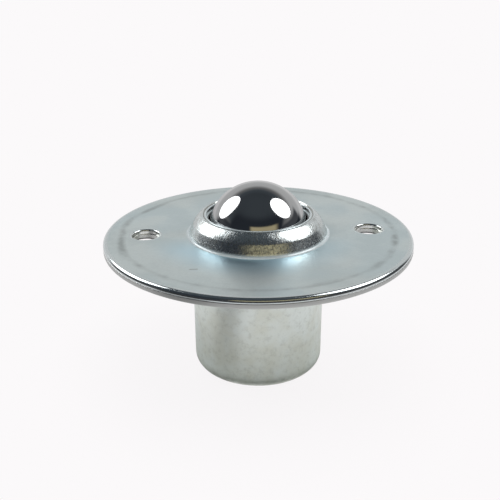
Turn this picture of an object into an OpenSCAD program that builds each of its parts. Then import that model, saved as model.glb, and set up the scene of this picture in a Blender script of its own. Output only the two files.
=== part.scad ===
// Spring-loaded ball transfer unit with a round two-hole flange.
// The origin is the centre of the flange's underside, where the unit seats on its table. +Z is up,
// towards the ball, and the two mounting holes lie on the X axis.

/* [Main ball] */
// Diameter of the load ball
ball_d = 25.4; // [24:0.1:27]
// Height of the ball's top above the flange's upper face
ball_stand = 13; // [12.5:0.1:13.5]

/* [Flange] */
// Outside diameter of both flange sheets
flange_d = 78; // [72:1:90]
// Diameter of the two mounting holes
hole_d = 7; // [5:0.5:9]
// Distance between the two mounting holes
hole_spacing = 57; // [50:1:62]
// Radius of the rolled edge at the top of each hole
hole_roll_r = 0.4; // [0.2:0.1:0.6]

/* [Cover] */
// Sheet thickness of the cover
cover_t = 1.2; // [1:0.1:1.5]
// Radius of the cover's rolled outer edge
rim_roll_r = 1.1; // [0.5:0.1:1.2]
// Height of the collar above the flange
collar_h = 5.2; // [4.8:0.1:5.6]
// Slope of the collar's foot from the horizontal
collar_angle = 65; // [62:1:68]
// Radius of the groove where the collar meets the flange
collar_fillet_r = 0.8; // [0.5:0.1:1.2]
// Radius of the bend between the collar's foot and its shoulder
bend_r = 1.8; // [1.6:0.1:2.2]
// Slope of the shoulder from the horizontal where it leaves the foot
bend_angle = 57; // [54:1:60]
// Radius of the shoulder's dome
dome_r = 7.7; // [7:0.1:8.5]
// Slope of the shoulder from the horizontal where it meets the lip
shoulder_angle = 34; // [30:1:38]
// Width of the lip, from its mouth to the ridge around it
lip_w = 1.15; // [1.05:0.05:1.4]
// Radius of the ridge around the lip
ridge_edge_r = 0.2; // [0.1:0.05:0.4]
// Radius of the bead around the lip's mouth
bead_r = 0.35; // [0.3:0.05:0.4]
// Depth of the bead below the ridge
bead_drop = 0.12; // [0.08:0.02:0.2]
// Depth of the lip, from the ridge to its underside
lip_depth = 1.8; // [1.7:0.1:2]
// Width of the step that retains the ball below the mouth
step_w = 0.6; // [0.5:0.05:0.7]
// Thickness of the step that retains the ball
step_t = 0.5; // [0.4:0.1:0.7]

/* [Housing] */
// Sheet thickness of the housing
housing_t = 1.2; // [1:0.1:1.5]
// Depth of the cup below the flange's underside
cup_depth = 34.2; // [32:0.2:38]
// Outside radius of the cup's bottom corner
cup_corner_r = 3.1; // [2.5:0.1:4.5]
// Radius between the cup and the flange's underside
cup_mouth_r = 1.2; // [0.6:0.1:2]
// Radius of the flange's lower outer edge
sheet_edge_r = 0.3; // [0.1:0.1:0.6]

/* [Race cup] */
// Radial space between the main ball and the race cup's bore
ball_side_gap = 1.6; // [1.2:0.1:2]
// Wall of the race cup around its bore
race_wall = 1.1; // [1:0.1:1.4]
// Thickness of the race cup under the race
race_floor_t = 1.5; // [1.2:0.1:2.5]
// Width of the flat land on the race cup's rim
rim_land = 0.5; // [0.3:0.1:0.7]
// Chamfer on the race cup's lower edges
race_chamfer = 0.5; // [0.2:0.1:0.8]

/* [Bearing balls] */
// Diameter of a bearing ball
bearing_d = 4; // [3.8:0.1:4.2]
// Rings of bearing balls around the centre one
bearing_rings = 3; // [1:1:3]

/* [Spring] */
// Diameter of the spring wire
wire_d = 2.2; // [1.8:0.1:2.6]
// Working coils between the closed end coils
active_coils = 3; // [2:1:4]
// Radial space between the spring and the housing
spring_side_gap = 2.15; // [1.6:0.05:2.6]

/* [Clearances] */
// Running gap between the main ball and the bearing balls
ball_gap = 0.1; // [0.05:0.05:0.15]
// Gap between the bearing balls and the race, and from each ball to the next
race_gap = 0.05; // [0.02:0.01:0.08]
// Radial gap between the race cup and the housing
slide_gap = 0.3; // [0.2:0.05:0.4]
// Gap between the main ball and the lip that retains it
lip_gap = 0.15; // [0.1:0.05:0.2]
// Height of the gap between the race cup's rim and the collar
stop_gap = 0.4; // [0.3:0.05:0.5]
// Radial gap between the spring and the race cup's pilot
pilot_gap = 0.25; // [0.15:0.05:0.4]

/* [Hidden] */
$fn = 128;

// Points on each quarter turn of a rounded edge in a profile
ARC_STEPS = 8;
// Rings for each turn of the spring, and sides of its wire
TURN_STEPS = 20;
WIRE_SIDES = 10;
// How far a cutter runs past the face that it cuts
OVER = 1;
// Spacing of the rings of bearing balls, against balls that touch
RING_SPREAD = 1.02;

// Heights of the two sheets and of the ball
flange_top = housing_t + cover_t;
flange_r = flange_d / 2;
ball_r = ball_d / 2;
ball_z = flange_top + ball_stand - ball_r;

// The collar: its lip follows the ball, its domed shoulder the lip, and its conical foot the shoulder.
// A tilt is the angle from the horizontal at which an arc ends, seen from the arc's centre.
lip_top = flange_top + collar_h;
lip_under = lip_top - lip_depth;
retain_r = sqrt(pow(ball_r, 2) - pow(lip_under - ball_z, 2)) + lip_gap;
mouth_r = retain_r + step_w;
foot_tilt = 90 - collar_angle;
bend_tilt = 90 - bend_angle;
dome_centre = [mouth_r + lip_w - dome_r * sin(shoulder_angle), lip_top - dome_r * cos(shoulder_angle)];
inner_dome_r = dome_r - cover_t;
bend_centre = dome_centre + (dome_r - bend_r) * [cos(bend_tilt), sin(bend_tilt)];
bend_foot = bend_centre + bend_r * [cos(foot_tilt), sin(foot_tilt)];
inner_bend_foot = bend_centre + (bend_r - cover_t) * [cos(foot_tilt), sin(foot_tilt)];
collar_base_r = bend_foot.x + (bend_foot.y - flange_top) / tan(collar_angle);
fillet_centre = [collar_base_r + collar_fillet_r * tan(collar_angle / 2), flange_top + collar_fillet_r];
ridge_tilt = asin((lip_top - ridge_edge_r - dome_centre.y) / (dome_r - ridge_edge_r));
ridge_centre = dome_centre + (dome_r - ridge_edge_r) * [cos(ridge_tilt), sin(ridge_tilt)];
under_tilt = asin((lip_under - dome_centre.y) / inner_dome_r);

// The radial chain, from the ball out to the cup
bore_r = ball_r + ball_side_gap;
race_out_r = bore_r + race_wall;
cup_in_r = race_out_r + slide_gap;
cup_r = cup_in_r + housing_t;
floor_z = -cup_depth + housing_t;

// The bearing balls and the race that they roll in
bearing_r = bearing_d / 2;
orbit_r = ball_r + ball_gap + bearing_r;
race_r = orbit_r + bearing_r + race_gap;
ball_pitch = 2 * asin((bearing_r + race_gap / 2) / orbit_r);
ring_step = ball_pitch * RING_SPREAD;
ring_counts = [for (k = [0 : bearing_rings]) ring_count(k)];
bearing_count = sum_to(ring_counts, bearing_rings);

// The spring and the seats at its ends
spring_r = cup_in_r - spring_side_gap - wire_d / 2;
pilot_r = spring_r - wire_d / 2 - pilot_gap;
seat_z = ball_z - sqrt(pow(race_r, 2) - pow(pilot_r, 2)) - race_floor_t;
pilot_z = ball_z - race_r - race_floor_t;
closed_rise = wire_d + race_gap;
end_turns = 1;
spring_turns = active_coils + 2 * end_turns;
spring_low = floor_z + wire_d / 4;
spring_rise = seat_z - floor_z - wire_d / 2;
active_pitch = (spring_rise - 2 * end_turns * closed_rise) / active_coils;

// The race cup's rim, cut parallel to the inside of the collar
rim_out_r = bore_r + rim_land;
rim_z = collar_inside_z(rim_out_r) - stop_gap;
rim_foot_z = collar_inside_z(race_out_r) - stop_gap;

// Height of the collar's inside face at a radius, on its shoulder or on its foot
function collar_inside_z(r) = r < dome_centre.x + inner_dome_r * cos(bend_tilt)
    ? dome_centre.y + sqrt(pow(inner_dome_r, 2) - pow(r - dome_centre.x, 2))
    : inner_bend_foot.y - (r - inner_bend_foot.x) * tan(collar_angle);

// Bearing balls that fit in ring k, counted out from the centre ball
function ring_count(k) = k == 0 ? 1 : floor(180 / asin(sin(ball_pitch / 2) / sin(k * ring_step)));

// Sum of the first k + 1 values of a list
function sum_to(list, k) = k < 0 ? 0 : list[k] + sum_to(list, k - 1);

// Ring that bearing ball i lies in, for i counted from 1
function ring_of(i, k = 0) = i <= sum_to(ring_counts, k) ? k : ring_of(i, k + 1);

function bearing_name(i) = str("bearing_ball_", i < 10 ? "0" : "", i);

// Points of an arc in a profile, from angle a to angle b
function arc(centre, r, a, b) = let (steps = max(2, ceil(abs(b - a) / 90 * ARC_STEPS)))
    [for (s = [0 : steps]) let (t = a + (b - a) * s / steps) centre + r * [cos(t), sin(t)]];

// The points of a list after its first one
function tail(list) = [for (i = [1 : len(list) - 1]) list[i]];

// Height of the spring's wire centre after a number of turns from its lower end
function coil_z(turn) = spring_low + closed_rise * min(turn, end_turns)
    + active_pitch * max(0, min(turn - end_turns, active_coils))
    + closed_rise * max(0, turn - end_turns - active_coils);

// A point on the wire's skin, with its ground ends cut level with the two seats
function coil_point(turn, side) = let (a = 360 * side / WIRE_SIDES, r = spring_r + wire_d / 2 * cos(a))
    [r * cos(360 * turn), r * sin(360 * turn),
     min(seat_z, max(floor_z, coil_z(turn) + wire_d / 2 * sin(a)))];

// The upper sheet: flange, domed collar, and a coined lip with a ridge, a bead and a retaining step
module cover_profile() {
    polygon(concat(
        [[flange_r, housing_t]],
        arc([flange_r - rim_roll_r, flange_top - rim_roll_r], rim_roll_r, 0, 90),
        arc(fillet_centre, collar_fillet_r, 270, 180 + foot_tilt),
        arc(bend_centre, bend_r, foot_tilt, bend_tilt),
        tail(arc(dome_centre, dome_r, bend_tilt, ridge_tilt)),
        tail(arc(ridge_centre, ridge_edge_r, ridge_tilt, 135)),
        arc([mouth_r + bead_r, lip_top - bead_drop - bead_r], bead_r, 30, 180),
        [[mouth_r, lip_under + step_t], [retain_r, lip_under + step_t], [retain_r, lip_under]],
        arc(dome_centre, inner_dome_r, under_tilt, bend_tilt),
        tail(arc(bend_centre, bend_r - cover_t, bend_tilt, foot_tilt)),
        arc(fillet_centre, collar_fillet_r + cover_t, 180 + foot_tilt, 270)
    ));
}

// The lower sheet: flange and deep-drawn cup
module housing_profile() {
    inner_corner_r = cup_corner_r - housing_t;
    inner_mouth_r = cup_mouth_r + housing_t;
    polygon(concat(
        arc([flange_r - sheet_edge_r, sheet_edge_r], sheet_edge_r, -90, 0),
        [[flange_r, housing_t]],
        arc([cup_in_r + inner_mouth_r, housing_t - inner_mouth_r], inner_mouth_r, 90, 180),
        arc([cup_in_r - inner_corner_r, floor_z + inner_corner_r], inner_corner_r, 0, -90),
        [[0, floor_z], [0, -cup_depth]],
        arc([cup_r - cup_corner_r, cup_corner_r - cup_depth], cup_corner_r, -90, 0),
        arc([cup_r + cup_mouth_r, -cup_mouth_r], cup_mouth_r, 180, 90)
    ));
}

// Both mounting holes, straight through the two sheets
module mounting_holes() {
    for (side = [-1, 1])
        translate([side * hole_spacing / 2, 0, -OVER])
            cylinder(d = hole_d, h = flange_top + 2 * OVER);
}

// The rolled edge that the punch leaves at the top of each hole
module hole_rolls() {
    for (side = [-1, 1])
        translate([side * hole_spacing / 2, 0, flange_top])
            rotate_extrude()
                polygon(concat(
                    [[0, OVER], [hole_d / 2 + hole_roll_r, OVER]],
                    arc([hole_d / 2 + hole_roll_r, -hole_roll_r], hole_roll_r, 90, 180),
                    [[0, -hole_roll_r]]
                ));
}

module cover_flange() {
    color("LightSteelBlue")
        difference() {
            rotate_extrude() cover_profile();
            mounting_holes();
            hole_rolls();
        }
}

module housing_cup() {
    color("DarkGray")
        difference() {
            rotate_extrude() housing_profile();
            mounting_holes();
        }
}

module main_ball() {
    color("Silver")
        translate([0, 0, ball_z]) sphere(r = ball_r);
}

// The hardened cup: a bore around the main ball, a spherical race under it, a chamfered rim that
// stops inside the collar, and a pilot that centres the spring on its seat
module race_cup() {
    color("SlateGray")
        difference() {
            rotate_extrude()
                polygon([
                    [0, pilot_z],
                    [pilot_r - race_chamfer, pilot_z],
                    [pilot_r, pilot_z + race_chamfer],
                    [pilot_r, seat_z],
                    [race_out_r - race_chamfer, seat_z],
                    [race_out_r, seat_z + race_chamfer],
                    [race_out_r, rim_foot_z],
                    [rim_out_r, rim_z],
                    [0, rim_z]
                ]);
            intersection() {
                translate([0, 0, ball_z]) sphere(r = race_r);
                translate([0, 0, pilot_z]) cylinder(r = bore_r, h = rim_z - pilot_z + OVER);
            }
        }
}

// Bearing ball i, in its place in its ring
module bearing_ball(i) {
    ring = ring_of(i);
    place = i - sum_to(ring_counts, ring - 1) - 1;
    polar = ring * ring_step;
    turn = 360 * place / ring_counts[ring];
    color("Gainsboro")
        translate([0, 0, ball_z])
            translate(orbit_r * [sin(polar) * cos(turn), sin(polar) * sin(turn), -cos(polar)])
                sphere(r = bearing_r, $fn = 48);
}

// Compression spring with closed and ground ends
module spring() {
    rings = spring_turns * TURN_STEPS;
    last = rings * WIRE_SIDES;
    points = [for (i = [0 : rings], s = [0 : WIRE_SIDES - 1]) coil_point(i / TURN_STEPS, s)];
    skin = [for (i = [0 : rings - 1], s = [0 : WIRE_SIDES - 1]) let (n = (s + 1) % WIRE_SIDES)
        [i * WIRE_SIDES + s, i * WIRE_SIDES + n, (i + 1) * WIRE_SIDES + n, (i + 1) * WIRE_SIDES + s]];
    // Each end face starts at a corner of the wire away from its ground flat
    low_end = [for (s = [WIRE_SIDES : -1 : 1]) (s + round(WIRE_SIDES / 4)) % WIRE_SIDES];
    high_end = [for (s = [0 : WIRE_SIDES - 1]) last + (s + round(WIRE_SIDES * 3 / 4)) % WIRE_SIDES];
    color("DimGray") polyhedron(points, concat(skin, [low_end, high_end]));
}

cover_flange();
housing_cup();
main_ball();
race_cup();
spring();
for (i = [1 : bearing_count])
    bearing_ball(i);
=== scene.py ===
"""Looks of a spring-loaded ball transfer unit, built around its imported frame.

The unit is a pressed cover with a domed collar, a deep-drawn housing under it, a load ball in a
race cup on bearing balls, and a spring below. The sizes are in millimetres, and every mesh is in
metres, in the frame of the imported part: the origin is the centre of the flange's underside.
"""

import logging
import math
from dataclasses import dataclass, field
from enum import Enum
from functools import partial, reduce
from typing import Sequence, Union

import bmesh
import bpy
from mathutils import Matrix, Vector


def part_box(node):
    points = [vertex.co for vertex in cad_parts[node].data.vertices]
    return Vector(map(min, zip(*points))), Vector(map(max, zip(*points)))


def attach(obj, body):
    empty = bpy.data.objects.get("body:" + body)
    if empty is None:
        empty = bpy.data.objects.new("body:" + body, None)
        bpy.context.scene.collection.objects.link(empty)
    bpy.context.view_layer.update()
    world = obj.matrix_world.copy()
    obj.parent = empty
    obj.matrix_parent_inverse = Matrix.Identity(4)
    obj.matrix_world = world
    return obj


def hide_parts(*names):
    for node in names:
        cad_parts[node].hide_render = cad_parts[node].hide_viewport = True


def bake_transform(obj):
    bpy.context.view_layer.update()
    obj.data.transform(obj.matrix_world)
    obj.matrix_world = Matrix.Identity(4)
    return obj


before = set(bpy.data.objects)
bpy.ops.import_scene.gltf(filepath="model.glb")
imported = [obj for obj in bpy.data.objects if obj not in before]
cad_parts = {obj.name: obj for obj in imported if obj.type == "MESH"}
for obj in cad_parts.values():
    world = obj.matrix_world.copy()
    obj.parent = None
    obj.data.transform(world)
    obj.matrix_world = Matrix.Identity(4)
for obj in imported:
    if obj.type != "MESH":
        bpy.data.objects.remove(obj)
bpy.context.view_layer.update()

MM = 0.001
WELD = 1e-7  # metres under which vertices become one
PIN = 0.02  # radius of the ring that ends a turned floor, before it is closed
PIN_WELD = 0.03  # length that closes that ring to a point
CLEAR = 1.0  # length that a hole's cutter stands out of the sheets
HOLE_SIDES = 64
BAND_CORE = 0.4  # share of a band's half width where it is full
NOISE_SPAN = (0.3, 0.7)  # values that a noise mostly keeps to
WHITE = (0.965, 0.947, 0.956)  # the backdrop, as the camera sees it
LOG = logging.getLogger("ball_transfer_unit")

Point = tuple[float, float]
Span = tuple[float, float]
Fade = tuple[str, float, float]
Colour = tuple[float, float, float]
Piece = bpy.types.Object
Material = bpy.types.Material
Socket = bpy.types.NodeSocket
Value = Union[float, Colour, Socket]


class Body(Enum):
    """Bodies of the frame that a piece can ride on."""

    HOUSING = "housing"
    CARRIER = "carrier"
    BALL = "ball"


class Slot(Enum):
    """Material slots of the record."""

    COVER = "cover_zinc"
    HOUSING = "housing_zinc"
    BALL = "ball_chrome_steel"
    RACE = "race_steel"
    BEARING = "bearing_steel"
    SPRING = "spring_steel"


class Cut(Enum):
    """Side of a level plane that a cut removes."""

    ABOVE = "above"
    BELOW = "below"


# ---- profiles


def arc(centre: Point, radius: float, start: float, end: float, step: float = 9.0) -> list[Point]:
    """Points of an arc in a turned profile.

    Args:
        centre: Radius and height of the arc's centre.
        radius: Radius of the arc.
        start: First angle, in degrees from the level outward direction.
        end: Last angle, in degrees.
        step: Largest angle between two points.

    Returns:
        The points from start to end, both included.
    """
    count = max(2, math.ceil(abs(end - start) / step))
    angles = [math.radians(start + (end - start) * i / count) for i in range(count + 1)]
    return [(centre[0] + radius * math.cos(a), centre[1] + radius * math.sin(a)) for a in angles]


def along(start: Point, length: float, angle: float) -> Point:
    """Point at a length from another one, at an angle in degrees from the level outward direction."""
    turn = math.radians(angle)
    return (start[0] + length * math.cos(turn), start[1] + length * math.sin(turn))


# ---- work on meshes


def clear() -> None:
    """Deselects every object."""
    if bpy.context.object and bpy.context.object.mode != "OBJECT":
        bpy.ops.object.mode_set(mode="OBJECT")
    bpy.ops.object.select_all(action="DESELECT")


def take(piece: Piece) -> None:
    """Makes one object the only selected and active one."""
    clear()
    piece.select_set(True)
    bpy.context.view_layer.objects.active = piece


def edit(piece: Piece) -> None:
    """Opens an object in edit mode, with its whole mesh selected."""
    take(piece)
    bpy.ops.object.mode_set(mode="EDIT")
    bpy.ops.mesh.select_all(action="SELECT")


def place() -> None:
    """Applies the active object's place, turn and size to its mesh."""
    bpy.ops.object.transform_apply(location=True, rotation=True, scale=True)


def begin(name: str) -> Piece:
    """Names the object that was just added, applies its place and opens its mesh."""
    piece = bpy.context.object
    piece.name = piece.data.name = name
    place()
    edit(piece)
    return piece


def close_edit() -> None:
    """Merges doubles, turns the faces outward and leaves edit mode."""
    bpy.ops.mesh.select_all(action="SELECT")
    bpy.ops.mesh.remove_doubles(threshold=WELD)
    bpy.ops.mesh.normals_make_consistent(inside=False)
    if bmesh.from_edit_mesh(bpy.context.object.data).calc_volume(signed=True) < 0:
        bpy.ops.mesh.flip_normals()
    bpy.ops.mesh.select_all(action="DESELECT")
    bpy.ops.object.mode_set(mode="OBJECT")


def extrude(rise: float) -> None:
    """Extrudes the selected ring of edges upward, by millimetres."""
    bpy.ops.mesh.extrude_region_move(TRANSFORM_OT_translate={"value": (0, 0, rise * MM)})


def ring_to(previous: Point, point: Point) -> None:
    """Extrudes the selected ring of edges to the next point of a turned profile.

    Args:
        previous: Radius and height of the selected ring, in millimetres.
        point: Radius and height of the new ring, in millimetres.
    """
    extrude(point[1] - previous[1])
    ratio = point[0] / previous[0]
    bpy.ops.transform.resize(value=(ratio, ratio, 1), center_override=(0, 0, 0))


def turned(name: str, profile: Sequence[Point], sides: int = 192, closed: bool = True) -> Piece:
    """Turns a profile about the Z axis: a circle is extruded ring by ring along it.

    Args:
        name: Name of the new object.
        profile: Radius and height of each ring, in millimetres.
        sides: Sides of each ring.
        closed: True to join the last ring to the first, False to fill both end rings.

    Returns:
        The new object.
    """
    clear()
    first, height = (length * MM for length in profile[0])
    bpy.ops.mesh.primitive_circle_add(vertices=sides, radius=first, location=(0, 0, height))
    piece = begin(name)
    for previous, point in zip(profile, [*profile[1:], *(profile[:1] if closed else [])]):
        ring_to(previous, point)
    if not closed:
        bpy.ops.mesh.select_all(action="SELECT")
        bpy.ops.mesh.fill_holes(sides=0)
    close_edit()
    return piece


def cut_level(piece: Piece, height: float, side: Cut) -> None:
    """Cuts a closed mesh level and fills the cut.

    Args:
        piece: Object to cut.
        height: Height of the cut, in millimetres.
        side: Side that is removed.
    """
    edit(piece)
    bpy.ops.mesh.bisect(
        plane_co=(0, 0, height * MM),
        plane_no=(0, 0, 1),
        use_fill=True,
        clear_inner=side is Cut.BELOW,
        clear_outer=side is Cut.ABOVE,
    )
    close_edit()


def close_pin(piece: Piece) -> None:
    """Closes the pin-sized ring in the middle of a turned floor to a point."""
    edit(piece)
    bpy.ops.mesh.remove_doubles(threshold=PIN_WELD * MM)
    close_edit()


def subtract(piece: Piece, cutter: Piece) -> None:
    """Cuts one closed mesh out of another, and deletes the cutter."""
    take(piece)
    modifier = piece.modifiers.new("cut", "BOOLEAN")
    modifier.operation = "DIFFERENCE"
    modifier.solver = "MANIFOLD"
    modifier.object = cutter
    bpy.ops.object.modifier_apply(modifier=modifier.name)
    bpy.data.objects.remove(cutter, do_unlink=True)


def shift(piece: Piece, x: float, y: float, z: float) -> None:
    """Moves an object's mesh by millimetres."""
    take(piece)
    bpy.ops.transform.translate(value=(x * MM, y * MM, z * MM))
    place()


def smooth(piece: Piece, angle: float = 32.0) -> None:
    """Shades a piece smooth up to an angle in degrees, with each flat face kept flat."""
    take(piece)
    bpy.ops.object.shade_smooth_by_angle(angle=math.radians(angle))
    modifier = piece.modifiers.new("weights", "WEIGHTED_NORMAL")
    modifier.keep_sharp = True
    modifier.weight = 100
    bpy.ops.object.modifier_apply(modifier=modifier.name)


def globe(name: str, height: float, radius: float, cuts: int) -> Piece:
    """Makes a ball from a subdivided cube.

    Args:
        name: Name of the new object.
        height: Height of the ball's centre on the Z axis, in millimetres.
        radius: Radius of the ball, in millimetres.
        cuts: Cuts along each edge of the cube.

    Returns:
        The new object.
    """
    clear()
    bpy.ops.mesh.primitive_cube_add(size=2 * radius * MM)
    piece = begin(name)
    bpy.ops.mesh.subdivide(number_cuts=cuts)
    bpy.ops.mesh.select_all(action="SELECT")
    bpy.ops.transform.tosphere(value=1.0)
    close_edit()
    spread = max(v.co.length for v in piece.data.vertices)
    ratio = radius * MM / spread
    take(piece)
    bpy.ops.transform.resize(value=(ratio, ratio, ratio), center_override=(0, 0, 0))
    bpy.ops.transform.translate(value=(0, 0, height * MM))
    place()
    bpy.ops.object.shade_smooth()
    return piece


# ---- finishes


@dataclass(frozen=True)
class Grain:
    """A noise, scale in features for each metre, whose values from low to high run from start to end."""

    scale: float
    low: float
    high: float
    detail: float = 3.0
    roughness: float = 0.55
    start: float = 0.0
    end: float = 1.0


class Nodes:
    """A node tree, with short calls for the nodes that the finishes and the room use."""

    def __init__(self, tree: bpy.types.NodeTree, coordinates: str) -> None:
        """Empties a tree, and starts it with the coordinates that its look depends on."""
        tree.nodes.clear()
        self.tree = tree
        self.place = self.add("TexCoord").outputs[coordinates]
        self.x, self.y, self.z = self.add("SeparateXYZ", self.place).outputs

    def feed(self, socket: Socket, value: Value) -> None:
        """Links a socket to another one, or sets its value, with full alpha for a colour."""
        if isinstance(value, Socket):
            self.tree.links.new(value, socket)
        else:
            socket.default_value = (*value, 1.0) if socket.type == "RGBA" else value

    def add(self, kind: str, *values: Value) -> bpy.types.Node:
        """Adds a node of a kind, and feeds its first inputs."""
        node = self.tree.nodes.new(f"ShaderNode{kind}")
        for socket, value in zip(node.inputs, values):
            self.feed(socket, value)
        return node

    def math(self, operation: str, *values: Value) -> Socket:
        """Adds a Math node and returns its result."""
        node = self.add("Math", *values)
        node.operation = operation
        return node.outputs[0]

    def times(self, *values: Value) -> Socket:
        """Product of two or more values."""
        return reduce(partial(self.math, "MULTIPLY"), values)

    def plus(self, *values: Value) -> Socket:
        """Sum of two or more values."""
        return reduce(partial(self.math, "ADD"), values)

    def most(self, *values: Value) -> Socket:
        """Largest of two or more values."""
        return reduce(partial(self.math, "MAXIMUM"), values)

    def rest(self, share: Value) -> Socket:
        """What a share leaves of the whole."""
        return self.math("SUBTRACT", 1.0, share)

    def off(self, value: Value, middle: float) -> Socket:
        """How far a value is from a middle one."""
        return self.math("ABSOLUTE", self.math("SUBTRACT", value, middle))

    def ramp(self, value: Socket, low: float, high: float, start: float = 0.0, end: float = 1.0) -> Socket:
        """Maps a value smoothly from low..high to start..end, clamped at both ends."""
        node = self.add("MapRange", value, low, high, start, end)
        node.interpolation_type = "SMOOTHSTEP"
        return node.outputs[0]

    def mix(self, share: Value, first: Value, second: Value) -> Socket:
        """Mixes two colours and returns the result."""
        node = self.add("Mix", share)
        node.data_type = "RGBA"
        colours = [socket for socket in node.inputs if socket.type == "RGBA"]
        for socket, value in zip(colours, (first, second)):
            self.feed(socket, value)
        return next(socket for socket in node.outputs if socket.type == "RGBA")


class Sheet(Nodes):
    """A material's nodes, with its shader and its output."""

    def __init__(self, name: str) -> None:
        """Starts a material that has only its shader and its output."""
        self.material = bpy.data.materials.new(name)
        self.material.use_nodes = True
        super().__init__(self.material.node_tree, "Object")
        self.shader = self.add("BsdfPrincipled")
        self.output = self.add("OutputMaterial", self.shader.outputs[0])

    def radius(self, x: float = 0.0) -> Socket:
        """Distance in metres from the Z axis, or from upright lines at x and -x millimetres."""
        across = self.math("SUBTRACT", self.math("ABSOLUTE", self.x), x * MM) if x else self.x
        return self.math("SQRT", self.plus(self.times(across, across), self.times(self.y, self.y)))

    def edge(self, value: Socket, low: float, high: float, start: float = 0.0, end: float = 1.0) -> Socket:
        """Maps a length smoothly from low..high, in millimetres, to start..end."""
        return self.ramp(value, low * MM, high * MM, start, end)

    def band(self, value: Socket, middle: float, width: float) -> Socket:
        """Share of a band, from none at its half width in millimetres to full in its core."""
        return self.edge(self.off(value, middle * MM), width, BAND_CORE * width)

    def noise(
        self, scale: float, detail: float = 3.0, roughness: float = 0.55, vector: "Socket | None" = None
    ) -> Socket:
        """Adds a noise texture, scale in features for each metre, and returns its value."""
        node = self.add("TexNoise", vector or self.place)
        for key, value in (("Scale", scale), ("Detail", detail), ("Roughness", roughness)):
            node.inputs[key].default_value = value
        return node.outputs[0]

    def grain(self, grain: Grain) -> Socket:
        """Adds a noise texture and returns its spread value."""
        noise = self.noise(grain.scale, grain.detail, grain.roughness)
        return self.ramp(noise, grain.low, grain.high, grain.start, grain.end)

    def around(self, noise: Socket, swing: float) -> Socket:
        """A noise turned into a swing about zero."""
        return self.times(self.math("SUBTRACT", noise, 0.5), swing)

    def stretched(self, x: float, y: float, z: float) -> Socket:
        """The place, scaled by its own factor along each axis."""
        node = self.add("Mapping", self.place)
        node.inputs["Scale"].default_value = (x, y, z)
        return node.outputs[0]

    def wrapped(self, reach: float, tall: float) -> Socket:
        """The place unrolled round the Z axis.

        Args:
            reach: Factor on the length round the axis.
            tall: Factor on the height.

        Returns:
            A vector socket.
        """
        length = self.radius()
        flat = [self.times(self.math("DIVIDE", axis, length), reach) for axis in (self.x, self.y)]
        return self.add("CombineXYZ", *flat, self.times(self.z, tall)).outputs[0]

    def layers(self, colour: Value, *layers: tuple[Socket, Colour]) -> Value:
        """Lays colours over a first one, each with its share."""
        for share, layer in layers:
            colour = self.mix(share, colour, layer)
        return colour

    def bump(self, height: Socket, depth: float, below: "Socket | None" = None) -> Socket:
        """Adds a bump of a depth in millimetres, on top of another one, and returns its normal."""
        node = self.add("Bump")
        node.inputs["Strength"].default_value = 1.0
        node.inputs["Distance"].default_value = depth * MM
        self.feed(node.inputs["Height"], height)
        if below is not None:
            self.feed(node.inputs["Normal"], below)
        return node.outputs[0]

    def metal(self, colour: Value, roughness: Value, normal: Socket, share: Value = 1.0) -> Material:
        """Sets the shader to bare metal.

        Args:
            colour: Reflected colour.
            roughness: Roughness from 0 to 1.
            normal: Normal of the bumped surface.
            share: How far the surface is metal, from 0 to 1.

        Returns:
            The finished material.
        """
        inputs = self.shader.inputs
        self.feed(inputs["Base Color"], colour)
        self.feed(inputs["Roughness"], roughness)
        self.feed(inputs["Normal"], normal)
        self.feed(inputs["Metallic"], share)
        return self.material


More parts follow.
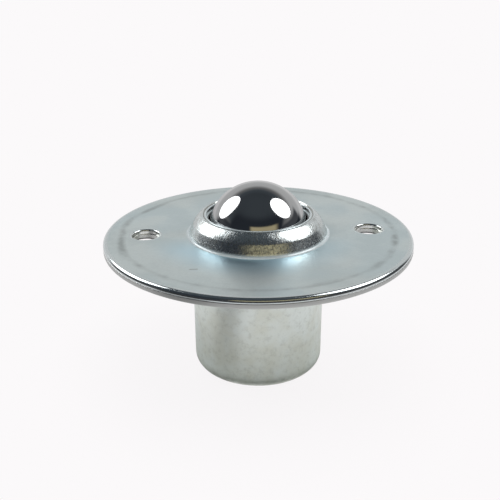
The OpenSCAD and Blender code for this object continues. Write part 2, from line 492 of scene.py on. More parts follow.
@dataclass(frozen=True)
class CoverZinc:
    """Bright zinc plate on the pressed cover: satin flange, burnished collar, rim and hole rolls.

    The radii are those of the cover's forms, in millimetres. A Span gives the values between
    which a look fades in or out.
    """

    name: str = "cover_zinc_plate"
    colour: Colour = (0.765, 0.845, 0.84)
    cloudy: Colour = (0.71, 0.785, 0.785)
    # Bluish colour of the random tint, also used as a painted reflection of the collar's glow on the flange.
    bluish_tint_and_reflection: Colour = (0.68, 0.90, 1.0)
    smudged: Colour = (0.34425, 0.38025, 0.378)
    bright: Colour = (0.72, 0.775, 0.785)
    # Near-white colour of the painted highlights on the fillet groove and on the bead.
    painted_highlight_white: Colour = (0.88, 0.97, 1.0)
    # Near-black painted shade for the gap between the ball and the lip's seat.
    oil_film_and_gap_shade: Colour = (0.04, 0.04, 0.045)
    # Dark colour of the grime in the collar's pits, also used as painted shade in the lip's dish.
    pit_grime_and_dish_shade: Colour = (0.38, 0.39, 0.37)
    bore: Colour = (0.74, 0.76, 0.74)
    clouds: Grain = Grain(95, 0.38, 0.66, 4)
    cloud_share: float = 0.7
    frost: Grain = Grain(1900, 0.35, 0.65, 3, 0.7, end=0.6)
    tint: Grain = Grain(48, 0.42, 0.62, 2, end=0.15)
    # Where the painted reflection of the collar's glow lies on the flange, in front of the collar.
    reflection_radius: float = 31.0
    reflection_front: Span = (0.0, -14.0)
    reflection_side: Span = (4.0, 10.0)
    reflection_far: float = 0.5
    mark_radius: float = 34.7
    mark_width: float = 1.4
    wobble_scale: float = 80.0
    wobble_swing: float = 3.2
    mark_share: float = 0.7
    mark_patches: Grain = Grain(150, 0.34, 0.62, 3, 0.6, start=0.15)
    mark_sides: Span = (20.0, 33.0)
    mark_front: float = 0.4
    line_width: float = 0.7
    line_shares: Span = (0.2, 0.5)
    nick: Point = (-16.2, -22.6)
    nick_outer: Point = (1.2, 0.35)
    nick_inner: Point = (0.72, 0.1)
    rim: Span = (37.8, 38.2)
    collar: Span = (18.3, 17.9)
    groove_radius: float = 17.85
    groove_width: float = 0.5
    lip: Span = (14.4, 14.2)
    dish_radius: float = 13.8
    dish_width: float = 0.25
    bead_radius: float = 13.32
    bead_width: float = 0.3
    # Radii and heights where the painted shade of the ball's gap lies.
    seat: Span = (12.9, 12.75)
    seat_top: Span = (6.8, 6.6)
    hole_x: float = 28.5
    hole_roll: Span = (4.1, 3.9)
    hole_wall: Span = (3.6, 3.54)
    satin: Span = (0.35, 0.44)
    burnished: Span = (0.14, 0.26)
    speck_scale: float = 2600.0
    speck_rough: float = 0.10
    smooth_gain: float = 0.05
    ripple_scale: float = 340.0
    ripple_depth: float = 0.012
    drawn_reach: float = 52.0
    drawn_tall: float = 1400.0
    drawn_depth: float = 0.05
    drawn_patches: Grain = Grain(420, 0.36, 0.6, start=0.4)
    pits: Span = (0.46, 0.60)
    pit_share: float = 0.8
    pit_rough: float = 0.13
    # Shares of the painted highlight on the groove and the bead, where the metal is also partly taken away.
    groove_highlight_share: float = 0.85
    bead_highlight_share: float = 0.8

    def marks(self, sheet: Sheet, radius: Socket) -> Socket:
        """Works out where the flange is smudged.

        Args:
            sheet: The material's node sheet.
            radius: Distance from the Z axis.

        Returns:
            The share of smudge: a broken ring that runs past both holes, and one short nick.
        """
        wobble = sheet.around(sheet.noise(self.wobble_scale, 4, 0.6), self.wobble_swing * MM)
        offset = sheet.off(sheet.plus(radius, wobble), self.mark_radius * MM)
        patches = sheet.grain(self.mark_patches)
        sides = sheet.edge(sheet.math("ABSOLUTE", sheet.x), *self.mark_sides, self.mark_front)
        smudge = sheet.times(sheet.edge(offset, self.mark_width, 0.0), patches, sides)
        thin = sheet.ramp(patches, self.mark_patches.start, 1.0, *self.line_shares)
        line = sheet.times(sheet.band(radius, self.mark_radius, self.line_width), thin)
        nick = sheet.times(
            *(
                sheet.edge(sheet.off(axis, middle * MM), outer, inner)
                for axis, middle, outer, inner in zip(
                    (sheet.x, sheet.y), self.nick, self.nick_outer, self.nick_inner
                )
            )
        )
        return sheet.most(smudge, line, nick)

    def make(self) -> Material:
        """Builds the material.

        Returns:
            The material.
        """
        sheet = Sheet(self.name)
        radius, hole = sheet.radius(), sheet.radius(self.hole_x)
        clouds, specks = sheet.grain(self.clouds), sheet.noise(self.speck_scale, 2)
        collar = sheet.edge(radius, *self.collar)
        # The groove and bead bands carry painted highlights; the groove band also keeps the fillet free of
        # bumps.
        groove = sheet.band(radius, self.groove_radius, self.groove_width)
        bead = sheet.band(radius, self.bead_radius, self.bead_width)
        # Painted shade: a dark line in the dish between the ridge and the bead.
        dish_shade = sheet.band(radius, self.dish_radius, self.dish_width)
        edges = sheet.most(sheet.edge(radius, *self.rim), sheet.edge(hole, *self.hole_roll))
        smooth = sheet.most(edges, sheet.edge(radius, *self.lip))
        plain = sheet.rest(sheet.most(smooth, groove))
        rough_collar = sheet.times(plain, collar)
        drawn = sheet.noise(1.0, 3, 0.7, sheet.wrapped(self.drawn_reach, self.drawn_tall))
        pits = sheet.times(sheet.ramp(drawn, *self.pits, 0.0, self.pit_share), rough_collar)
        # Painted reflection: the flange in front of the collar is tinted bluish where the collar's glow would
        # be mirrored in it.
        shine = sheet.most(collar, edges)
        collar_glow_reflection = sheet.times(
            sheet.edge(radius, self.reflection_radius, self.collar[0]),
            sheet.edge(sheet.y, *self.reflection_front),
            sheet.edge(sheet.x, *self.reflection_side, 1.0, self.reflection_far),
        )
        # Painted shade: the seat and step under the lip are painted near black, for the dark gap round the
        # ball.
        gap_shade = sheet.times(sheet.edge(radius, *self.seat), sheet.edge(sheet.z, *self.seat_top))
        haze = sheet.plus(sheet.times(clouds, self.cloud_share), sheet.grain(self.frost))
        colour = sheet.layers(
            self.colour,
            (haze, self.cloudy),
            (sheet.most(sheet.grain(self.tint), collar_glow_reflection), self.bluish_tint_and_reflection),
            (sheet.times(self.marks(sheet, radius), self.mark_share), self.smudged),
            (shine, self.bright),
            (pits, self.pit_grime_and_dish_shade),
            (sheet.edge(hole, *self.hole_wall), self.bore),
            # Painted highlights: the groove and the bead are painted near white.
            (groove, self.painted_highlight_white),
            # Painted shade in the lip's dish.
            (dish_shade, self.pit_grime_and_dish_shade),
            (bead, self.painted_highlight_white),
            (gap_shade, self.oil_film_and_gap_shade),
        )
        satin = sheet.plus(sheet.ramp(clouds, 0, 1, *self.satin), sheet.around(specks, self.speck_rough))
        burnished = sheet.plus(
            sheet.ramp(specks, *NOISE_SPAN, *self.burnished),
            sheet.times(smooth, -self.smooth_gain),
            sheet.times(pits, self.pit_rough),
        )
        rough = sheet.plus(sheet.times(satin, sheet.rest(shine)), sheet.times(burnished, shine))
        ripple = sheet.times(sheet.noise(self.ripple_scale), plain)
        scored = sheet.times(drawn, sheet.grain(self.drawn_patches), rough_collar)
        normal = sheet.bump(scored, self.drawn_depth, sheet.bump(ripple, self.ripple_depth))
        # Painted highlight: the groove and the bead are partly non-metal, so their white shows under any
        # light.
        painted_highlight = sheet.most(sheet.times(groove, self.groove_highlight_share), sheet.times(bead, self.bead_highlight_share))
        return sheet.metal(colour, rough, normal, sheet.rest(painted_highlight))


@dataclass(frozen=True)
class HousingZinc:
    """Dull zinc plate on the deep-drawn housing, stained in patches, with a sheared rim and bores.

    The radii and heights are those of the housing's forms, in millimetres.
    """

    name: str = "housing_zinc_plate"
    colour: Colour = (0.82, 0.88, 0.85)
    stained: Colour = (0.745, 0.78, 0.71)
    # Dull colour of the random specks, also used as painted shade on the cup's lower round.
    dull_specks_and_foot_shade: Colour = (0.38, 0.41, 0.36)
    sheared: Colour = (0.56, 0.575, 0.565)
    bore: Colour = (0.68, 0.695, 0.68)
    # Near-black painted shade at the foot of each bore.
    hole_shade_dark: Colour = (0.15, 0.15, 0.15)
    stains: Grain = Grain(62, 0.40, 0.62, 4, 0.6)
    specks: Grain = Grain(700, 0.45, 0.75, 4, 0.7, end=0.3)
    # Heights of the painted shade on the cup's lower round, darker towards the bottom.
    foot: Span = (-29.7, -33.6)
    foot_shade_patches: Grain = Grain(420, 0.3, 0.6, start=0.6)
    rim: Span = (38.3, 38.5)
    hole_x: float = 28.5
    hole_wall: Span = (3.94, 3.9)
    # Heights of the painted shade low on each bore wall.
    hole_shade_height: Span = (0.4, 0.25)
    satin: Span = (0.39, 0.41)
    draw_reach: float = 26.0
    draw_tall: float = 12.0
    fine_scale: float = 1500.0
    fine_rough: float = 0.12
    ripple_scale: float = 520.0
    ripple_depth: float = 0.008
    tooth_scale: float = 3600.0
    tooth_depth: float = 0.004

    def make(self) -> Material:
        """Builds the material.

        Returns:
            The material.
        """
        sheet = Sheet(self.name)
        wall = sheet.edge(sheet.radius(self.hole_x), *self.hole_wall)
        colour = sheet.layers(
            self.colour,
            (sheet.grain(self.stains), self.stained),
            (sheet.grain(self.specks), self.dull_specks_and_foot_shade),
            # Painted shade: the cup's lower round is darker in patches towards the bottom, where it mirrors
            # the shadowed floor.
            (sheet.times(sheet.edge(sheet.z, *self.foot), sheet.grain(self.foot_shade_patches)), self.dull_specks_and_foot_shade),
            (sheet.edge(sheet.radius(), *self.rim), self.sheared),
            (wall, self.bore),
            # Painted shade: the lowest part of each bore wall is painted near black.
            (sheet.times(wall, sheet.edge(sheet.z, *self.hole_shade_height)), self.hole_shade_dark),
        )
        draw = sheet.noise(1.0, 3, 0.6, sheet.wrapped(self.draw_reach, self.draw_tall))
        fine = sheet.around(sheet.noise(self.fine_scale), self.fine_rough)
        rough = sheet.plus(sheet.ramp(draw, *NOISE_SPAN, *self.satin), fine)
        normal = sheet.bump(sheet.noise(self.ripple_scale), self.ripple_depth)
        normal = sheet.bump(sheet.noise(self.tooth_scale, 2), self.tooth_depth, normal)
        return sheet.metal(colour, rough, normal)


@dataclass(frozen=True)
class PolishedSteel:
    """Mirror-polished ball steel, with hairlines almost too fine to see."""

    name: str
    colour: Colour = (0.52, 0.525, 0.53)
    polish: float = 0.035
    haze_scale: float = 220.0
    haze_rough: float = 0.03
    haze_span: Span = (0.3, 0.75)
    dark_span: Span = (0.35, 0.7)
    dark_share: float = 0.95
    hair_scales: tuple[float, float, float] = (900, 5200, 2400)
    hair_rough: float = 0.015
    hair_depth: float = 0.0006

    def make(self) -> Material:
        """Builds the material."""
        sheet = Sheet(self.name)
        haze = sheet.noise(self.haze_scale, 4)
        hairs = sheet.noise(1.0, 2, 0.5, sheet.stretched(*self.hair_scales))
        rough = sheet.plus(
            sheet.ramp(haze, *self.haze_span, self.polish, self.polish + self.haze_rough),
            sheet.times(hairs, self.hair_rough),
        )
        dark = tuple(channel * self.dark_share for channel in self.colour)
        colour = sheet.mix(sheet.ramp(haze, *self.dark_span), self.colour, dark)
        return sheet.metal(colour, rough, sheet.bump(hairs, self.hair_depth))


@dataclass(frozen=True)
class TurnedSteel:
    """Oiled steel with fine lines that run round the Z axis."""

    name: str
    colour: Colour = (0.42, 0.42, 0.43)
    dark: Colour = (0.30, 0.30, 0.31)
    satin: float = 0.34
    lines: float = 4200.0
    swing: Span = (-0.07, 0.09)
    depth: float = 0.006
    oil_film_and_gap_shade: Grain = Grain(240, 0.35, 0.7, 4)

    def make(self) -> Material:
        """Builds the material."""
        sheet = Sheet(self.name)
        across = sheet.add("CombineXYZ", sheet.radius(), 0.0, sheet.z).outputs[0]
        rings = sheet.noise(self.lines, 2, 0.6, across)
        colour = sheet.mix(sheet.grain(self.oil_film_and_gap_shade), self.colour, self.dark)
        rough = sheet.ramp(rings, *NOISE_SPAN, *(self.satin + swing for swing in self.swing))
        return sheet.metal(colour, rough, sheet.bump(rings, self.depth))


# ---- sub-assemblies


@dataclass
class Flange:
    """Sizes that the cover and the housing share, in millimetres."""

    radius: float
    underside: float = 0.0
    sheet: float = 1.2
    flat_ring: float = 23.5
    hole_x: float = 28.5
    hole_radius: float = 3.5

    @property
    def top(self) -> float:
        """Height of the upper face."""
        return self.underside + 2 * self.sheet

    def drill(self, piece: Piece, roll: float = 0.0, slip: Point = (0.0, 0.0)) -> None:
        """Cuts both mounting holes out of a sheet.

        Args:
            piece: The sheet.
            roll: Radius of the holes' rolled upper edge, or 0 for plain holes.
            slip: Offset of both holes from their place.
        """
        bore = self.hole_radius
        flare = arc((bore + roll, self.top - roll), roll, 180, 90, step=12) if roll else []
        outline = [(bore, self.underside - CLEAR), *flare, (bore + roll, self.top + CLEAR)]
        for x in (-self.hole_x, self.hole_x):
            cutter = turned("hole_cutter", outline, HOLE_SIDES, closed=False)
            shift(cutter, x + slip[0], slip[1], 0)
            subtract(piece, cutter)


@dataclass
class Cover:
    """The upper sheet: flange with a rolled rim, domed collar and coined lip."""

    flange: Flange
    lip_top: float
    ball_centre: float
    ball_radius: float = 12.7
    lip_gap: float = 0.15
    rim_side: float = 1.75
    rim_lean: float = 15.0
    seam_edge: float = 0.14
    collar_angle: float = 65.0
    fillet: float = 0.8
    bend: float = 1.8
    bend_angle: float = 57.0
    dome: float = 7.7
    shoulder_angle: float = 34.0
    lip_width: float = 1.15
    lip_depth: float = 1.8
    ridge_edge: float = 0.2
    bead: float = 0.24
    bead_drop: float = 0.08
    step_width: float = 0.6
    step_height: float = 0.5
    step_edge: float = 0.08
    mark_radius: float = 34.7
    mark_width: float = 0.5
    mark_depth: float = 0.03
    hole_roll: float = 0.4

    def profile(self) -> list[Point]:
        """Works out the turned profile.

        Returns:
            The profile, from the rim over the collar and back along the underside.
        """
        sheet, top, rim = self.flange.sheet, self.flange.top, self.flange.radius
        foot_tilt, bend_tilt = 90.0 - self.collar_angle, 90.0 - self.bend_angle
        under = self.lip_top - self.lip_depth
        retain = math.sqrt(self.ball_radius**2 - (under - self.ball_centre) ** 2) + self.lip_gap
        mouth = retain + self.step_width
        lip = (mouth + self.lip_width, self.lip_top)
        centre = along(lip, -self.dome, 90.0 - self.shoulder_angle)
        bend_centre = along(centre, self.dome - self.bend, bend_tilt)
        bend_foot = along(bend_centre, self.bend, foot_tilt)
        base = bend_foot[0] + (bend_foot[1] - top) / math.tan(math.radians(self.collar_angle))
        groove = (base + self.fillet * math.tan(math.radians(self.collar_angle / 2)), top + self.fillet)
        inner = self.dome - sheet
        reach = self.dome - self.ridge_edge
        ridge_tilt = math.degrees(math.asin((self.lip_top - self.ridge_edge - centre[1]) / reach))
        ridge_centre = along(centre, reach, ridge_tilt)
        under_tilt = math.degrees(math.asin((under - centre[1]) / inner))
        edge, step_top = self.step_edge, under + self.step_height
        seam = self.flange.underside + sheet
        side_low = seam + self.seam_edge
        side_centre = (rim - self.rim_side, side_low)
        side_top = along(side_centre, self.rim_side, self.rim_lean)
        roll = (top - side_top[1]) / (1 - math.sin(math.radians(self.rim_lean)))
        return [
            *arc((rim - self.seam_edge, side_low), self.seam_edge, -90, 0, step=30),
            *arc(side_centre, self.rim_side, 0, self.rim_lean, step=4)[1:],
            *arc(along(side_top, -roll, self.rim_lean), roll, self.rim_lean, 90, step=6)[1:],
            (self.mark_radius + self.mark_width, top),
            (self.mark_radius + self.mark_width / 3, top - self.mark_depth),
            (self.mark_radius - self.mark_width / 3, top - self.mark_depth),
            (self.mark_radius - self.mark_width, top),
            (self.flange.flat_ring, top),
            *arc(groove, self.fillet, 270, 180 + foot_tilt),
            *arc(bend_centre, self.bend, foot_tilt, bend_tilt, step=3),
            *arc(centre, self.dome, bend_tilt, ridge_tilt, step=2)[1:],
            *arc(ridge_centre, self.ridge_edge, ridge_tilt, 135)[1:],
            (mouth + 3 * self.bead, self.lip_top - self.bead_drop - self.bead),
            *arc((mouth + self.bead, self.lip_top - self.bead_drop - self.bead), self.bead, 15, 180),
            (mouth, step_top),
            *arc((retain + edge, step_top - edge), edge, 90, 180, step=30),
            *arc((retain + edge, under + edge), edge, 180, 270, step=30),
            *arc(centre, inner, under_tilt, bend_tilt, step=3),
            *arc(bend_centre, self.bend - sheet, bend_tilt, foot_tilt, step=6)[1:],
            *arc(groove, self.fillet + sheet, 180 + foot_tilt, 270),
        ]

    def build(self) -> Piece:
        """Models the cover."""
        piece = turned("pressed_cover", self.profile())
        self.flange.drill(piece, roll=self.hole_roll)
        smooth(piece)
        return piece

    def dress(self, piece: Piece) -> None:
        """Gives the cover its plate and its place in the frame."""
        plate = CoverZinc(hole_x=self.flange.hole_x).make()
        finish(piece, plate, Slot.COVER, "cover_flange")
        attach(piece, Body.HOUSING.value)


@dataclass
class Housing:
    """The lower sheet: flange and deep-drawn cup."""

    flange: Flange
    depth: float
    radius: float = 16.9
    corner: float = 3.1
    mouth: float = 1.2
    rim_edge: float = 0.3
    seam_edge: float = 0.14
    hole_slip: Point = (-0.2, -0.3)

    def profile(self) -> list[Point]:
        """Works out the turned profile.

        Returns:
            The profile, from the rim down the inside of the cup and back up its outside.
        """
        sheet, rim, ring = self.flange.sheet, self.flange.radius, self.flange.flat_ring
        top = self.flange.underside + sheet
        inside = self.radius - sheet
        corner, mouth = self.corner - sheet, self.mouth + sheet
        return [
            *arc((rim - self.rim_edge, self.rim_edge), self.rim_edge, -90, 0, step=15),
            *arc((rim - self.seam_edge, top - self.seam_edge), self.seam_edge, 0, 90, step=30),
            (ring, top),
            *arc((inside + mouth, top - mouth), mouth, 90, 180),
            *arc((inside - corner, sheet + corner - self.depth), corner, 0, -90),
            (PIN, sheet - self.depth),
            (PIN, -self.depth),
            *arc((self.radius - self.corner, self.corner - self.depth), self.corner, -90, 0),
            *arc((self.radius + self.mouth, -self.mouth), self.mouth, 180, 90),
            (ring, self.flange.underside),
        ]

    def build(self) -> Piece:
        """Models the housing."""
        piece = turned("drawn_housing", self.profile())
        close_pin(piece)
        self.flange.drill(piece, slip=self.hole_slip)
        smooth(piece)
        return piece

    def dress(self, piece: Piece) -> None:
        """Gives the housing its plate and its place in the frame."""
        finish(piece, HousingZinc().make(), Slot.HOUSING, "housing_cup")
        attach(piece, Body.HOUSING.value)


@dataclass
class LoadBall:
    """The main ball."""

    centre: float
    radius: float = 12.7
    cuts: int = 47

    def build(self) -> Piece:
        """Models the ball."""
        return globe("load_ball", self.centre, self.radius, self.cuts)

    def dress(self, piece: Piece) -> None:
        """Polishes the ball and places it in the frame."""
        finish(piece, PolishedSteel("load_ball_steel").make(), Slot.BALL, "main_ball")
        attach(piece, Body.BALL.value)


@dataclass
class RaceCup:
    """The hardened cup that holds the bearing balls."""

    ball_centre: float
    rim_top: float
    seat: float
    pilot_bottom: float
    rim_height: float = 0.81
    bore: float = 14.3
    outside: float = 15.4
    rim_outside: float = 14.8
    race: float = 16.85
    pilot: float = 11.1
    chamfer: float = 0.5
    edge: float = 0.12
    race_end: float = -89.93
    sides: int = 128

    def profile(self) -> list[Point]:
        """Works out the turned profile.

        Returns:
            The profile, from the rim down the bore and the race and back up the outside.
        """
        start = -math.degrees(math.acos(self.bore / self.race))
        race = arc((0.0, self.ball_centre), self.race, start, self.race_end, step=3)
        return [
            (self.bore + self.edge, self.rim_top),
            (self.bore, self.rim_top - self.edge),
            *race,
            (race[-1][0], self.pilot_bottom),
            (self.pilot - self.chamfer, self.pilot_bottom),
            (self.pilot, self.pilot_bottom + self.chamfer),
            (self.pilot, self.seat),
            (self.outside - self.chamfer, self.seat),
            (self.outside, self.seat + self.chamfer),
            (self.outside, self.rim_top - self.rim_height),
            (self.rim_outside, self.rim_top),
        ]

    def build(self) -> Piece:
        """Models the race cup."""
        piece = turned("race_cup_turned", self.profile(), self.sides)
        close_pin(piece)
        smooth(piece, angle=25)
        return piece

    def dress(self, piece: Piece) -> None:
        """Gives the race cup its turned finish and its place in the frame."""
        finish(piece, TurnedSteel("race_cup_steel").make(), Slot.RACE, "race_cup")
        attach(piece, Body.CARRIER.value)


@dataclass
class BearingBalls:
    """The bearing balls that lie in the race, one copy for each of their nodes."""

    nodes: list[str]
    radius: float = 2.0
    cuts: int = 11
    colour: Colour = (0.66, 0.66, 0.67)
    polish: float = 0.06
    pieces: list[Piece] = field(default_factory=list)

    def build(self) -> list[Piece]:
        """Models one ball and copies it to the place of each node.

        Returns:
            The balls, in the order of their nodes.
        """
        pattern = globe("bearing_ball_pattern", 0.0, self.radius, self.cuts)
        for node in self.nodes:
            low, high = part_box(node)
            take(pattern)
            bpy.ops.object.duplicate(linked=False)
            copy = bpy.context.object
            copy.name = copy.data.name = node.replace("bearing_ball", "rolling_ball")
            shift(copy, *((low + high) / 2 / MM))
            self.pieces.append(copy)
        bpy.data.objects.remove(pattern, do_unlink=True)
        return self.pieces

    def dress(self) -> None:
        """Polishes the balls and places them in the frame."""
        steel = PolishedSteel("bearing_ball_steel", self.colour, self.polish).make()
        for piece, node in zip(self.pieces, self.nodes):
            finish(piece, steel, Slot.BEARING, node)
            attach(piece, Body.CARRIER.value)


@dataclass
class Spring:
    """The compression spring, with closed and ground ends."""

    floor: float
    seat: float
    wire: float = 2.2
    radius: float = 12.45
    active: int = 3
    end_turns: int = 1
    end_gap: float = 0.05
    steps: int = 24
    sides: int = 14
    colour: Colour = (0.30, 0.30, 0.31)
    dark: Colour = (0.17, 0.17, 0.18)
    satin: float = 0.4
    lines: float = 900.0

    def rise_to(self, turn: float) -> float:
        """Height of the wire's centre after a number of turns, in millimetres."""
        closed = self.wire + self.end_gap
        start = self.floor + self.wire / 4
        pitch = (self.seat - self.floor - self.wire / 2 - 2 * self.end_turns * closed) / self.active
        return (
            start
            + closed * min(turn, self.end_turns)
            + pitch * max(0.0, min(turn - self.end_turns, self.active))
            + closed * max(0.0, turn - self.end_turns - self.active)
        )

    def build(self) -> Piece:
        """Models the spring: the wire's round is extruded along the coil, and its ends are ground.

        Returns:
            The finished piece.
        """
        clear()
        bpy.ops.mesh.primitive_circle_add(
            vertices=self.sides,
            radius=self.wire / 2 * MM,
            location=(self.radius * MM, 0, self.rise_to(0) * MM),
            rotation=(math.radians(90), 0, 0),
        )
        piece = begin("wound_spring")
        for i in range((self.active + 2 * self.end_turns) * self.steps):
            extrude(self.rise_to((i + 1) / self.steps) - self.rise_to(i / self.steps))
            bpy.ops.transform.rotate(value=-math.tau / self.steps, orient_axis="Z", center_override=(0, 0, 0))
        bpy.ops.mesh.select_all(action="SELECT")
        bpy.ops.mesh.fill_holes(sides=0)
        close_edit()
        cut_level(piece, self.floor, Cut.BELOW)
        cut_level(piece, self.seat, Cut.ABOVE)
        smooth(piece, angle=40)
        return piece

    def dress(self, piece: Piece) -> None:
        """Gives the spring its wire finish and applies its place to its mesh."""
        steel = TurnedSteel("spring_wire_steel", self.colour, self.dark, self.satin, self.lines)
        finish(piece, steel.make(), Slot.SPRING, "spring")
        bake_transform(piece)


def finish(piece: Piece, look: Material, slot: Slot, *nodes: str) -> None:
    """Gives a piece its material and hides the nodes of the frame that it replaces.

    Args:
        piece: The piece.
        look: Its material.
        slot: Slot of the record that the piece takes its finish from; not used.
        nodes: Nodes of the frame that the piece replaces.
    """
    piece.data.materials.clear()
    piece.data.materials.append(look)
    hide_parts(*nodes)


# ---- studio


def heading(azimuth: float, elevation: float) -> Vector:
    """Unit vector at an azimuth, from the front to the right, and an elevation, both in degrees."""
    turn, lift = math.radians(azimuth), math.radians(elevation)
    return Vector((math.sin(turn) * math.cos(lift), -math.cos(turn) * math.cos(lift), math.sin(lift)))


@dataclass(frozen=True)
class SoftBox:
    """A soft round lamp, aimed at the unit. Its sizes are in metres."""

    name: str
    azimuth: float
    elevation: float
    width: float
    height: float
    radiance: float
    distance: float = 1.5

    def place(self) -> Piece:
        """Makes the lamp."""
        spot = heading(self.azimuth, self.elevation)
        area = math.pi / 4 * self.width * self.height
        light = bpy.data.lights.new(self.name, "AREA")
        light.shape = "ELLIPSE"
        light.size, light.size_y = self.width, self.height
        light.energy = self.radiance * math.pi * area
        lamp = bpy.data.objects.new(self.name, light)
        bpy.context.scene.collection.objects.link(lamp)
        lamp.location = spot * self.distance
        lamp.rotation_euler = spot.to_track_quat("Z", "Y").to_euler()
        lamp.visible_camera = False
        return lamp


@dataclass(frozen=True)
class Eye:
    """The camera: it looks at a point beside the origin, whose place is in millimetres."""

    azimuth: float = -3.41
    elevation: float = 22.44
    distance: float = 187.7
    aim_side: float = -2.08
    aim_height: float = -2.69
    roll: float = -0.3
    lens: float = 52.39
    sensor: float = 36.0
    clip: Span = (0.01, 20.0)

    def place(self) -> Piece:
        """Makes the camera."""
        back, side = heading(self.azimuth, self.elevation), heading(self.azimuth + 90.0, 0.0)
        aim = side * self.aim_side * MM + Vector((0, 0, self.aim_height * MM))
        tilt = math.radians(self.roll)
        right = side * math.cos(tilt) + back.cross(side) * math.sin(tilt)
        turn = Matrix((right, back.cross(right), back)).transposed().to_4x4()
        data = bpy.data.cameras.new("camera")
        data.lens, data.sensor_width = self.lens, self.sensor
        data.clip_start, data.clip_end = self.clip
        camera = bpy.data.objects.new("camera", data)
        bpy.context.scene.collection.objects.link(camera)
        camera.matrix_world = Matrix.Translation(aim + back * self.distance * MM) @ turn
        bpy.context.scene.camera = camera
        return camera


@dataclass(frozen=True)
class Room:
    """The light of the room by direction: pale low down and behind, dark overhead and in front.

    The greys stand at levels: a level is the sine of a direction's elevation, changed by the
    three leans. A zone is a product of fades, each with its axis, and its values at none and full.
    """

    levels: tuple[float, ...] = (-0.36, -0.18, 0.02, 0.20, 0.39, 0.56, 0.75, 1.0)
    greys: tuple[float, ...] = (0.80, 0.63, 0.615, 0.61, 0.21, 0.09, 0.065, 0.07)
    lowest: float = -0.4
    highest: float = 1.0
    lean_behind: float = -0.45
    lean_front: float = -0.2
    lean_right: float = -0.08
    cool_below: float = 0.15
    cool: float = 0.15
    dark: Colour = (0.029, 0.034, 0.043)
    warm: Colour = (0.54, 0.465, 0.285)
    front: tuple[Fade, ...] = (("toward", 0.05, 0.3), ("z", 0.02, 0.2), ("x", 0.86, 0.76))
    sides: tuple[Fade, ...] = (
        ("aside", 0.6, 0.75),
        ("toward", -0.55, -0.38),
        ("z", -0.02, 0.1),
        ("z", 0.42, 0.3),
    )
    sides_share: float = 0.9
    low: tuple[Fade, ...] = (("toward", -0.65, -0.4), ("z", 0.2, 0.12))
    roof: tuple[Fade, ...] = (("z", 0.85, 0.6),)
    patch: tuple[Fade, ...] = (
        ("x", -0.42, -0.28),
        ("x", 0.72, 0.55),
        ("toward", 0.3, 0.6),
        ("z", 0.5, 0.43),
        ("z", 0.17, 0.24),
    )

    def grey(self, nodes: Nodes) -> Socket:
        """Works out the pale part of the room.

        Args:
            nodes: The world's nodes.

        Returns:
            The colour, which depends on the level alone.
        """
        behind = nodes.times(nodes.most(nodes.y, 0.0), self.lean_behind)
        front = nodes.times(nodes.math("MINIMUM", nodes.y, 0.0), self.lean_front)
        level = nodes.plus(nodes.z, behind, front, nodes.times(nodes.x, self.lean_right))
        span = self.highest - self.lowest
        ramp = nodes.add("ValToRGB", nodes.math("DIVIDE", nodes.plus(level, -self.lowest), span))
        elements = ramp.color_ramp.elements
        while len(elements) < len(self.greys):
            elements.new(0.5)
        for element, height, grey in zip(elements, self.levels, self.greys):
            cool = 0.0 if grey > self.cool_below else self.cool
            element.position = (height - self.lowest) / span
            element.color = (grey * (1 - cool), grey, grey * (1 + cool), 1.0)
        return ramp.outputs[0]

    def build(self) -> None:
        """Makes the room, which the camera itself sees as plain white."""
        world = bpy.data.worlds.new("room")
        bpy.context.scene.world = world
        world.use_nodes = True
        nodes = Nodes(world.node_tree, "Generated")
        toward, aside = nodes.times(nodes.y, -1.0), nodes.math("ABSOLUTE", nodes.x)
        axes = {"x": nodes.x, "z": nodes.z, "toward": toward, "aside": aside}

        def zone(fades: tuple[Fade, ...]) -> Socket:
            """Product of the fades of a zone."""
            return nodes.times(*(nodes.ramp(axes[axis], none, full) for axis, none, full in fades))

        sides = nodes.times(zone(self.sides), self.sides_share)
        shade = nodes.times(nodes.most(zone(self.front), sides, zone(self.low)), zone(self.roof))
        colour = nodes.mix(shade, self.grey(nodes), self.dark)
        colour = nodes.mix(zone(self.patch), colour, self.warm)
        room, backdrop = nodes.add("Background", colour), nodes.add("Background", WHITE)
        seen = nodes.add("LightPath").outputs["Is Camera Ray"]
        mixer = nodes.add("MixShader", seen, room.outputs[0], backdrop.outputs[0])
        nodes.add("OutputWorld", mixer.outputs[0])


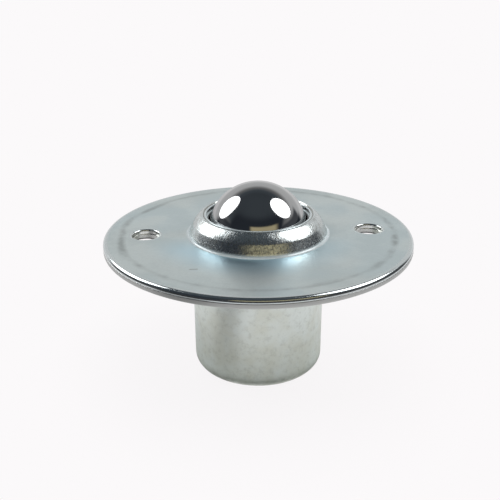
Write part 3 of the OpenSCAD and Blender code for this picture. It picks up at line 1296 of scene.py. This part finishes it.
@dataclass(frozen=True)
class Floor:
    """Pale floor: it shows white to the camera and in metal, and keeps a soft shadow.

    The spans are distances from the Z axis in metres, or, for the ways, cosines from a heading.
    """

    height: float
    radius: float = 2.0
    sides: int = 128
    base: Colour = (0.88, 0.87, 0.875)
    lit: Span = (0.02, 0.06)
    lit_share: float = 0.07
    mirror_outer: Span = (0.02, 0.07)
    # Radii of a painted pool of light: the floor right under the cup glows in metal instead of lying in
    # shadow.
    painted_glow_under_cup: Span = (0.0178, 0.0155)
    far: Span = (0.03, 0.2)
    far_share: float = 0.68
    # Painted shade in the floor's glow, seen only in metal: a dark zone in front and a shadow streak to the
    # front left.
    dusk: Span = (0.12, 0.17)
    dusk_way: Span = (-0.65, -0.4)
    dusk_share: float = 0.9
    shadow_streak_heading: Point = (-0.766, -0.643)
    shadow_streak_way: Span = (0.92, 0.985)
    shadow_streak_share: float = 0.5

    def look(self) -> Material:
        """Builds the floor's material.

        Returns:
            The material.
        """
        sheet = Sheet("pale_floor")
        sheet.feed(sheet.shader.inputs["Base Color"], self.base)
        sheet.feed(sheet.shader.inputs["Roughness"], 1.0)
        sheet.feed(sheet.shader.inputs["Specular IOR Level"], 0.0)
        path, radius = sheet.add("LightPath").outputs, sheet.radius()
        toward = sheet.math("DIVIDE", sheet.times(sheet.y, -1.0), radius)
        # Painted shade: the glow that metal mirrors is dimmed in the front zone and along a painted shadow
        # streak.
        dusk = sheet.times(sheet.ramp(radius, *self.dusk), sheet.ramp(toward, *self.dusk_way))
        along_shadow_streak = (sheet.times(axis, way) for axis, way in zip((sheet.x, sheet.y), self.shadow_streak_heading))
        shadow_streak_way = sheet.math("DIVIDE", sheet.plus(*along_shadow_streak), radius)
        level = sheet.times(
            sheet.ramp(radius, *self.far, 1.0, self.far_share),
            sheet.rest(sheet.times(dusk, self.dusk_share)),
            sheet.rest(sheet.ramp(shadow_streak_way, *self.shadow_streak_way, 0.0, self.shadow_streak_share)),
        )
        glow = sheet.add("Emission", WHITE, sheet.most(path["Is Camera Ray"], level))
        inside = sheet.most(path["Is Glossy Ray"], path["Is Transmission Ray"])
        # Painted light: close under the cup, metal mirrors the glow rather than the shadowed floor.
        mirrored = sheet.most(*(sheet.ramp(radius, *span) for span in (self.mirror_outer, self.painted_glow_under_cup)))
        plain = sheet.ramp(radius, *self.lit, 1.0 - self.lit_share, 1.0)
        share = sheet.most(sheet.times(path["Is Camera Ray"], plain), sheet.times(inside, mirrored))
        mixer = sheet.add("MixShader", share, sheet.shader.outputs[0], glow.outputs[0])
        sheet.feed(sheet.output.inputs["Surface"], mixer.outputs[0])
        return sheet.material

    def build(self) -> Piece:
        """Lays the floor."""
        clear()
        bpy.ops.mesh.primitive_circle_add(
            vertices=self.sides, radius=self.radius, fill_type="NGON", location=(0, 0, self.height * MM)
        )
        floor = bpy.context.object
        floor.name = floor.data.name = "floor"
        place()
        floor.data.materials.append(self.look())
        return floor


@dataclass(frozen=True)
class Studio:
    """Camera, lamps, room and floor round a unit whose foot is at a height in millimetres."""

    foot: float
    floor_gap: float = 0.02
    lamps: tuple[SoftBox, ...] = (
        SoftBox("left_softbox", -117.0, 34.0, 1.04, 1.20, 3.2),
        SoftBox("right_softbox", 90.3, 46.1, 1.14, 1.16, 3.5),
    )

    def build(self) -> None:
        """Sets up the whole studio."""
        Eye().place()
        Room().build()
        Floor(self.foot - self.floor_gap).build()
        for lamp in self.lamps:
            lamp.place()
        bpy.context.scene.view_settings.view_transform = "Standard"


# ---- assembly


def main() -> None:
    """Builds the studio and every sub-assembly, and reports each piece."""
    logging.basicConfig(level=logging.INFO, format="%(name)s: %(message)s")
    cover, cup, load, race, coil = (
        [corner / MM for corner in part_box(name)]
        for name in ("cover_flange", "housing_cup", "main_ball", "race_cup", "spring")
    )
    low, high = 0, 1
    ball_centre = (load[low].z + load[high].z) / 2

    Studio(foot=cup[low].z).build()
    LOG.info("studio ready")

    flange = Flange(radius=cover[high].x)
    for part in (
        Cover(flange, lip_top=cover[high].z, ball_centre=ball_centre),
        Housing(flange, depth=-cup[low].z),
        LoadBall(ball_centre),
        RaceCup(ball_centre, rim_top=race[high].z, seat=coil[high].z, pilot_bottom=race[low].z),
        Spring(floor=coil[low].z, seat=coil[high].z),
    ):
        piece = part.build()
        part.dress(piece)
        LOG.info("%s: %d faces", piece.name, len(piece.data.polygons))
    bearings = BearingBalls(sorted(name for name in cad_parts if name.startswith("bearing_ball")))
    bearings.build()
    bearings.dress()
    LOG.info("%d bearing balls", len(bearings.pieces))


if __name__ == "__main__":
    main()
